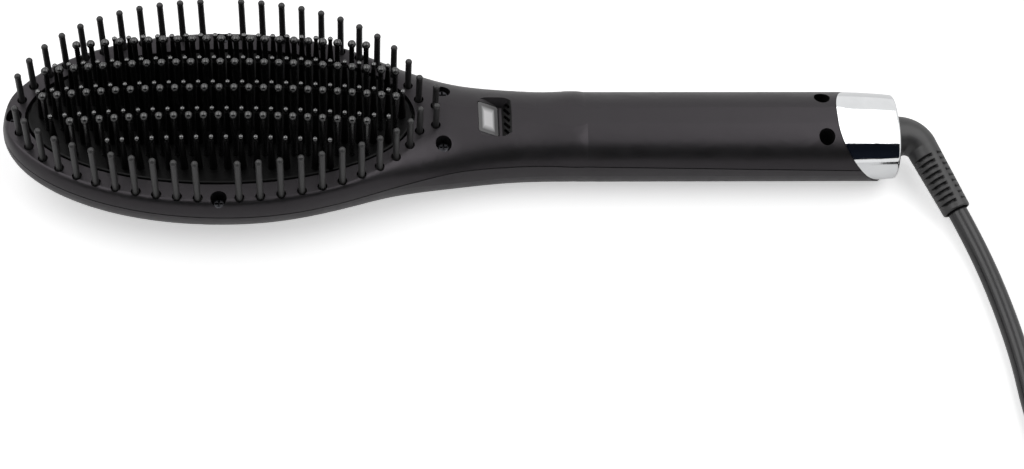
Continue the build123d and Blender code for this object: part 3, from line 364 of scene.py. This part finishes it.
def window_material():
    """Polished plastic: a milky pane with hairline scratches, and painted shade that darkens it
    towards its border.
    """
    surface = Surface("clear_window", IOR=1.49)
    tree = surface.tree
    shift = tree.nodes.new("ShaderNodeMapping")
    shift.inputs["Location"].default_value = (-WINDOW_MIDDLE_X / WINDOW_PANE_X, 0, 0)
    shift.inputs["Scale"].default_value = (1 / WINDOW_PANE_X, 1 / WINDOW_PANE_Y, 0)
    tree.links.new(surface.place, shift.inputs["Vector"])
    split = tree.nodes.new("ShaderNodeSeparateXYZ")
    tree.links.new(shift.outputs["Vector"], split.inputs["Vector"])
    reaches = [maths(tree, "ABSOLUTE", split.outputs[way]) for way in ("X", "Y")]
    farther = maths(tree, "MAXIMUM", *reaches)
    alpha = map_range(tree, farther, *WINDOW_BORDER, *WINDOW_ALPHA)
    tree.links.new(alpha, surface.shader.inputs["Alpha"])
    # Painted shade: the pane's colour darkens from its middle to its border.
    surface.colour(WINDOW_PALE, WINDOW_SHADE_COLOUR, map_range(tree, farther, *WINDOW_PAINTED_SHADE))
    surface.rough(0.08, 0.16, surface.noise(1.5 * MM, 4.0))
    surface.bump(0.0008 * MM, surface.noise(0.6 * MM, 2.0, ALONG_X))
    return surface.material


def display_material():
    """Unlit segment display: a pale silver-grey reflector that darkens in soft bands."""
    surface = Surface("unlit_display", Metallic=0.1)
    bands = surface.noise(3 * MM, 1.0, (1, 0.15, 1))
    surface.mottle((0.62, 0.62, 0.63), (0.95, 0.95, 0.96), bands)
    surface.rough(0.35, 0.45, surface.noise(2 * MM, 3.0))
    surface.bump(0.001 * MM, surface.noise(0.4 * MM, 2.0, (1, 0.05, 1)))
    return surface.material


def chrome_material():
    """Mirror chrome plating: nearly smooth, with a slow waviness and faint smudges."""
    surface = Surface("mirror_chrome", Metallic=1.0)
    surface.mottle((0.70, 0.71, 0.72), (0.76, 0.77, 0.78), surface.noise(8 * MM, 3.0))
    surface.rough(0.035, 0.09, surface.noise(6 * MM, 5.0))
    surface.bump(0.012 * MM, surface.noise(7 * MM, 1.0))
    return surface.material


def cord_material():
    """Extruded cord sheath: semi-gloss black, a little uneven in colour, gloss and surface."""
    surface = Surface("cord_sheath", Specular_IOR_Level=0.5)
    surface.mottle((0.011, 0.011, 0.012), (0.019, 0.018, 0.019), surface.noise(20 * MM, 3.0))
    surface.rough(0.19, 0.27, surface.noise(3 * MM, 4.0))
    surface.bump(0.012 * MM, surface.noise(0.7 * MM, 3.0))
    return surface.material


IVORY = (1, 0.98, 0.93)
AMBER = (1, 0.92, 0.75)
CREAM = (1, 0.95, 0.82)
GREEN = (0.25, 1, 0.45)
PLASTICS = {  # by slot: name, linear value, roughness, width and depth of its grain, tint
    "cover": ("soft_touch_charcoal", 0.011, 0.36, 0.35 * MM, 0.008 * MM),
    # Rear cover: satin finish, and a lighter value than the front cover's that paints the floor's
    # bounce light on its underside.
    "rear_cover": ("satin_charcoal_painted_bounce", 0.030, 0.42, 0.35 * MM, 0.010 * MM),
    "pin": ("moulded_pin_nylon", 0.030, 0.44, 0.3 * MM, 0.008 * MM),
    "coated_aluminium": ("ceramic_coated_aluminium", 0.003, 0.3, 0.4 * MM, 0.006 * MM),
    "cap": ("gloss_black_cap", 0.005, 0.13, 0.5 * MM, 0.002 * MM),
    "bristle": ("satin_black_nylon", 0.005, 0.22, 0.5 * MM, 0.002 * MM),
    "ceramic": ("sintered_ceramic", 0.7, 0.6, 0.2 * MM, 0.01 * MM, IVORY),
    "mica": ("mica_sheet", 0.45, 0.4, 2.0 * MM, 0.02 * MM, AMBER),
    "sensor": ("glazed_sensor", 0.6, 0.25, 0.6 * MM, 0.004 * MM, CREAM),
    "fuse": ("sleeved_fuse", 0.6, 0.5, 0.3 * MM, 0.01 * MM),
    "lead": ("silicone_lead", 0.65, 0.55, 0.4 * MM, 0.01 * MM),
    "outlet": ("outlet_black", 0.002, 0.45, 0.3 * MM, 0.008 * MM),
    "clear_plastic": ("natural_polypropylene", 0.6, 0.35, 0.5 * MM, 0.005 * MM),
    "wick": ("felt_wick", 0.75, 0.9, 0.25 * MM, 0.12 * MM),
    "silicone": ("black_silicone", 0.016, 0.5, 0.4 * MM, 0.01 * MM),
    "board": ("circuit_board", 0.12, 0.4, 0.5 * MM, 0.006 * MM, GREEN),
    "component": ("component_black", 0.03, 0.45, 0.4 * MM, 0.008 * MM),
    "switch": ("switch_black", 0.02, 0.45, 0.3 * MM, 0.008 * MM),
    "button": ("button_charcoal", 0.026, 0.4, 0.3 * MM, 0.008 * MM),
    "socket": ("black_acetal", 0.02, 0.4, 0.4 * MM, 0.006 * MM),
    "stem": ("dark_acetal", 0.03, 0.4, 0.4 * MM, 0.006 * MM),
    "boot": ("boot_rubber", 0.040, 0.40, 0.35 * MM, 0.012 * MM),
    "plug": ("plug_moulding", 0.022, 0.4, 0.4 * MM, 0.012 * MM),
}
COVER_GLOSS = {"Specular_IOR_Level": 0.44, "Specular_Tint": (1.0, 0.91, 1.0, 1.0)}
PLASTIC_GLOSS = {  # by slot: what its shader has unlike a plain plastic's
    "cover": COVER_GLOSS,
    "rear_cover": COVER_GLOSS,
    "coated_aluminium": {"Specular_IOR_Level": 0.12},
    "cap": {"Specular_IOR_Level": 0.9, "IOR": 1.7},
    "bristle": {"Specular_IOR_Level": 0.7, "IOR": 1.6},
    "outlet": {"Specular_IOR_Level": 0.3},
}
BRIGHT_ALUMINIUM = (0.77, 0.77, 0.78)
METALS = {  # by slot: name, colour, roughness, width and depth of its grain, stretch
    "steel": ("zinc_plated_steel", (0.55, 0.55, 0.57), 0.34, 0.3 * MM, 0.004 * MM),
    # Nearly black, as painted shade for the deep holes that the cover screws sit in.
    "black_steel": ("dark_steel_painted_shade", (0.05, 0.05, 0.055), 0.3, 0.3 * MM, 0.004 * MM),
    "foil_aluminium": ("bright_aluminium", BRIGHT_ALUMINIUM, 0.28, 0.3 * MM, 0.004 * MM, ALONG_X),
    "piezo": ("piezo_brass", (0.70, 0.52, 0.25), 0.3, 0.2 * MM, 0.003 * MM),
    "plug_pin": ("nickel_plate", (0.74, 0.72, 0.66), 0.22, 0.2 * MM, 0.003 * MM),
}


def make_materials():
    """Every finish of the brush, by the record's slot name."""
    made = {}
    for slot, values in PLASTICS.items():
        made[slot] = plastic(*values, **PLASTIC_GLOSS.get(slot, {}))
    for slot, values in METALS.items():
        made[slot] = metal(*values)
    made["window"] = window_material()
    made["display"] = display_material()
    made["chrome"] = chrome_material()
    made["cord"] = cord_material()
    return made


materials = make_materials()


def dress(piece, slot):
    """Give a piece the finish of a slot of the record."""
    piece.data.materials.clear()
    piece.data.materials.append(materials[slot])


for part in frame["record"]["subparts"]:
    dress(nodes[part["node"]], part["material_slot"])


# ---------------------------------------------------------------- cord boot
BODY_END = 144.35 * MM  # outer end of the collar
BODY_AXIS = 12.2 * MM  # height of the boot's and the handle's middle line
BOOT_SIDES = 144
BOOT_ROOT_INSIDE = 2.4 * MM  # how far the root reaches into the collar
BOOT_ROOT_LENGTH = 2.65 * MM  # from the collar to the elbow
BOOT_ROOT_RADIUS = 6.9 * MM
BOOT_ROOT_BACK = 0.4  # innermost ring of the root's hidden back, as a share of its radius
BOOT_SHOULDER = 1.0 * MM  # from the collar to the end of a fine slope on the root
BOOT_SHOULDER_LENGTH = 0.4 * MM
BOOT_SHOULDER_DROP = 0.1 * MM
BOOT_ELBOW_RADIUS = 7.5 * MM  # of its middle line
BOOT_ELBOW_STEPS = 24
BOOT_ELBOW_START = 0.2  # share of its narrowing that the elbow has where it starts
BOOT_ELBOW_END_RADIUS = 5.2 * MM
BOOT_BEND = radians(66.3)  # from the body's axis
BOOT_DIP = radians(14.0)  # how far the elbow leans below level
BOOT_STRAIGHT = 23.4 * MM  # from the elbow to the boot's end
BOOT_RING_STEP = 0.07 * MM  # from ring to ring there
BOOT_END_RADIUS = 4.6 * MM
BOOT_END_ROUNDING = 0.55 * MM
BOOT_BORE_RADIUS = 4.0 * MM
BOOT_BORE_START = 0.3 * MM  # how far the end slopes in to its bore
BOOT_BORE_DEPTH = 1.5 * MM
BOOT_BORE_FLOOR_RADIUS = 0.5 * CORD_RADIUS  # innermost ring of the bore's floor
BOOT_SLOTS = 9
BOOT_SLOT_PITCH = 2.1 * MM
BOOT_SLOT_WIDTH = 0.98 * MM
BOOT_SLOT_DEPTH = 2.0 * MM
BOOT_TIP_LENGTH = 1.1 * MM  # solid end past the slots
BOOT_SPINE_WIDTH = 2.1 * MM  # solid ridges between the slots
BOOT_SPINES = [radians(angle) for angle in (-12, 95, 180, -85)]  # from the boot's top
SLOT_WALL = 0.07 * MM  # half the width over which a slot's wall drops
SLOT_END = 3 * SLOT_WALL  # from a ridge's edge to where a slot has its full depth
BOOT_SIDE_WAY = Vector((0, -cos(BOOT_DIP), -sin(BOOT_DIP)))  # the way the elbow turns
BOOT_TOP_WAY = BOOT_SIDE_WAY.cross(Vector((1, 0, 0)))


def boot_direction(angle):
    """Direction of the boot's middle line after it has turned by angle."""
    return Vector((cos(angle), 0, 0)) + BOOT_SIDE_WAY * sin(angle)


def boot_point(angle, beyond):
    """Point on the boot's middle line: round the elbow by angle, then straight on."""
    corner = Vector((BODY_END + BOOT_ROOT_LENGTH, 0, BODY_AXIS))
    turned = Vector((BOOT_ELBOW_RADIUS * sin(angle), 0, 0))
    turned += BOOT_SIDE_WAY * (BOOT_ELBOW_RADIUS * (1 - cos(angle)))
    return corner + turned + boot_direction(angle) * beyond


def slot_depth(beyond, angle, radius):
    """Depth of the boot's relief slots at a distance past its elbow and an angle round it."""
    first = BOOT_STRAIGHT - BOOT_TIP_LENGTH - BOOT_SLOTS * BOOT_SLOT_PITCH
    place = (beyond - first) / BOOT_SLOT_PITCH
    if not 0 <= place < BOOT_SLOTS:
        return 0.0
    half_slot = BOOT_SLOT_WIDTH / 2
    from_middle = abs((place % 1.0) * BOOT_SLOT_PITCH - half_slot)
    across = 1 - smooth_step(from_middle, half_slot - SLOT_WALL, half_slot + SLOT_WALL)
    turns = [abs((angle - spine + pi) % (2 * pi) - pi) for spine in BOOT_SPINES]
    nearest_spine = radius * min(turns)
    half_spine = BOOT_SPINE_WIDTH / 2
    around = smooth_step(nearest_spine, half_spine - SLOT_WALL, half_spine + SLOT_END)
    return BOOT_SLOT_DEPTH * across * around


def boot_ring(angle, beyond, radius, slots=False):
    """Ring of points square to the boot's middle line."""
    middle = boot_point(angle, beyond)
    beside = boot_direction(angle).cross(BOOT_TOP_WAY)
    ring = []
    for side in range(BOOT_SIDES):
        turn = 2 * pi * side / BOOT_SIDES
        reach = radius - (slot_depth(beyond, turn, radius) if slots else 0.0)
        ring.append(middle + (BOOT_TOP_WAY * cos(turn) + beside * sin(turn)) * reach)
    return ring


def root_rings():
    """Rings of the boot's round root, from inside the collar to the end of its fine slope."""
    back = -BOOT_ROOT_INSIDE - BOOT_ROOT_LENGTH
    shoulder = BOOT_SHOULDER - BOOT_ROOT_LENGTH
    return [
        boot_ring(0, back, BOOT_ROOT_BACK * BOOT_ROOT_RADIUS),
        boot_ring(0, back, BOOT_ROOT_RADIUS),
        boot_ring(0, shoulder - BOOT_SHOULDER_LENGTH, BOOT_ROOT_RADIUS),
        boot_ring(0, shoulder, BOOT_ROOT_RADIUS - BOOT_SHOULDER_DROP),
    ]


def elbow_rings():
    """Rings round the boot's elbow, which narrows along its bend."""
    rings = []
    for step in range(BOOT_ELBOW_STEPS + 1):
        share = step / BOOT_ELBOW_STEPS
        narrowed = BOOT_ELBOW_START + (1 - BOOT_ELBOW_START) * share
        radius = BOOT_ROOT_RADIUS - (BOOT_ROOT_RADIUS - BOOT_ELBOW_END_RADIUS) * narrowed
        rings.append(boot_ring(BOOT_BEND * share, 0, radius))
    return rings


def taper_rings():
    """Rings of the boot's slotted taper and its rounded end."""
    rings = []
    steps = int(BOOT_STRAIGHT / BOOT_RING_STEP)
    for step in range(1, steps + 1):
        beyond = BOOT_STRAIGHT * step / steps
        share = beyond / BOOT_STRAIGHT
        radius = BOOT_ELBOW_END_RADIUS + (BOOT_END_RADIUS - BOOT_ELBOW_END_RADIUS) * share
        from_end = BOOT_STRAIGHT - beyond
        if from_end < BOOT_END_ROUNDING:
            level = BOOT_END_ROUNDING - from_end
            radius -= BOOT_END_ROUNDING - sqrt(BOOT_END_ROUNDING**2 - level**2)
        rings.append(boot_ring(BOOT_BEND, beyond, radius, slots=True))
    return rings


def bore_rings():
    """Rings of the short bore that the cord comes out of."""
    floor = BOOT_STRAIGHT - BOOT_BORE_DEPTH
    return [
        boot_ring(BOOT_BEND, BOOT_STRAIGHT - BOOT_BORE_START, BOOT_BORE_RADIUS),
        boot_ring(BOOT_BEND, floor, BOOT_BORE_RADIUS),
        boot_ring(BOOT_BEND, floor, BOOT_BORE_FLOOR_RADIUS),
    ]


def make_boot():
    """Bend-relief boot: a round root, an elbow and a slotted taper with a hollow end."""
    rings = root_rings() + elbow_rings() + taper_rings() + bore_rings()
    return make_object("ribbed_boot", *bridge(rings))


boot = make_boot()
dress(boot, "boot")
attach(boot, "swivel")
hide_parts("cord_boot")

dress(cord, "cord")
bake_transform(cord)
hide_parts("cord_tube", "cord_coil", "cord_tail")


# ---------------------------------------------------------------- studio
WHITE = (1.0, 1.0, 1.0)
STAGE_ROUGHNESS = 0.9
FLOOR_HALF = 1.6
FLOOR_LIT = (0.75, 0.75, 0.75)  # its colour to reflections and the light
FLOOR_GLOW = 0.55
FLOOR_REFLECTED_GLOW = 0.3
WORLD_LIGHT = 0.22
SOFTBOX_RADIANCE = 1.6
SOFTBOX_HEIGHT = 1.0
SOFTBOX_WIDTH = 0.95
SOFTBOX_NEAR_Y = -0.58
SOFTBOX_FAR_Y = 0.78
SOFTBOX_LEFT_X = -0.7
SOFTBOX_RIGHT_X = 0.75
CARD_HALF = 1.8
CARD_LOW_Y, CARD_LOW_Z = -1.45, 0.30
CARD_HIGH_Y, CARD_HIGH_Z = -0.95, 1.75
CARD_SEEN = (0.004, 0.004, 0.004)
CARD_REFLECTED = (0.020, 0.026, 0.042)


def material_by_ray(name, seen, other, glow=0.0, reflected_glow=0.0):
    """Matt material of one colour to the camera and another to reflections and the light.

    glow is a light that it only seems to give to the camera, so that the shadows on it stay
    pale, and reflected_glow is the same in reflections.
    """
    material = bpy.data.materials.new(name)
    material.use_nodes = True
    tree = material.node_tree
    shader = tree.nodes["Principled BSDF"]
    shader.inputs["Roughness"].default_value = STAGE_ROUGHNESS
    shader.inputs["Specular IOR Level"].default_value = 0.0
    shader.inputs["Emission Color"].default_value = (*WHITE, 1)
    ray = tree.nodes.new("ShaderNodeLightPath")
    to_camera = ray.outputs["Is Camera Ray"]
    tree.links.new(mix_colours(tree, other, seen, to_camera), shader.inputs["Base Color"])
    reflected = maths(tree, "MULTIPLY", ray.outputs["Is Glossy Ray"], reflected_glow)
    strength = maths(tree, "MULTIPLY_ADD", to_camera, glow, reflected)
    tree.links.new(strength, shader.inputs["Emission Strength"])
    return material


def seen_ray(tree):
    """1 for rays of the camera, of reflections and through clear things, and 0 for light."""
    ray = tree.nodes.new("ShaderNodeLightPath")
    total = ray.outputs["Is Camera Ray"]
    for kind in ("Is Glossy Ray", "Is Transmission Ray"):
        total = maths(tree, "MAXIMUM", total, ray.outputs[kind])
    return total


def make_floor():
    """Pale seamless floor that keeps the object's shadow."""
    half = FLOOR_HALF
    corners = [(-half, -half, 0), (half, -half, 0), (half, half, 0), (-half, half, 0)]
    floor = make_object("floor", corners, [(0, 1, 2, 3)], smooth=False)
    white = material_by_ray("floor_white", WHITE, FLOOR_LIT, FLOOR_GLOW, FLOOR_REFLECTED_GLOW)
    floor.data.materials.append(white)


def make_world():
    """White surroundings to the camera and in reflections, and a low even light."""
    world = bpy.data.worlds.new("studio")
    world.use_nodes = True
    tree = world.node_tree
    background = tree.nodes["Background"]
    background.inputs["Color"].default_value = (*WHITE, 1)
    strength = map_range(tree, seen_ray(tree), 0.0, 1.0, WORLD_LIGHT, 1.0)
    tree.links.new(strength, background.inputs["Strength"])
    bpy.context.scene.world = world


def make_softbox(name, middle_x):
    """Level rectangular softbox above the object, that shines down."""
    data = bpy.data.lights.new(name, "AREA")
    data.shape = "RECTANGLE"
    data.size = SOFTBOX_WIDTH
    data.size_y = SOFTBOX_FAR_Y - SOFTBOX_NEAR_Y
    data.energy = SOFTBOX_RADIANCE * pi * data.size * data.size_y
    lamp = bpy.data.objects.new(name, data)
    lamp.location = (middle_x, (SOFTBOX_NEAR_Y + SOFTBOX_FAR_Y) / 2, SOFTBOX_HEIGHT)
    bpy.context.scene.collection.objects.link(lamp)


def make_dark_card():
    """Dark studio behind the camera, which reflections and the even light meet."""
    corners = [
        (-CARD_HALF, CARD_LOW_Y, CARD_LOW_Z),
        (CARD_HALF, CARD_LOW_Y, CARD_LOW_Z),
        (CARD_HALF, CARD_HIGH_Y, CARD_HIGH_Z),
        (-CARD_HALF, CARD_HIGH_Y, CARD_HIGH_Z),
    ]
    card = make_object("dark_studio", corners, [(0, 1, 2, 3)], smooth=False)
    card.data.materials.append(material_by_ray("studio_black", CARD_SEEN, CARD_REFLECTED))
    card.visible_camera = False
    card.visible_shadow = False


make_floor()
make_world()
make_dark_card()
make_softbox("softbox_left", SOFTBOX_LEFT_X)
make_softbox("softbox_right", SOFTBOX_RIGHT_X)
bpy.context.scene.view_settings.view_transform = "Standard"
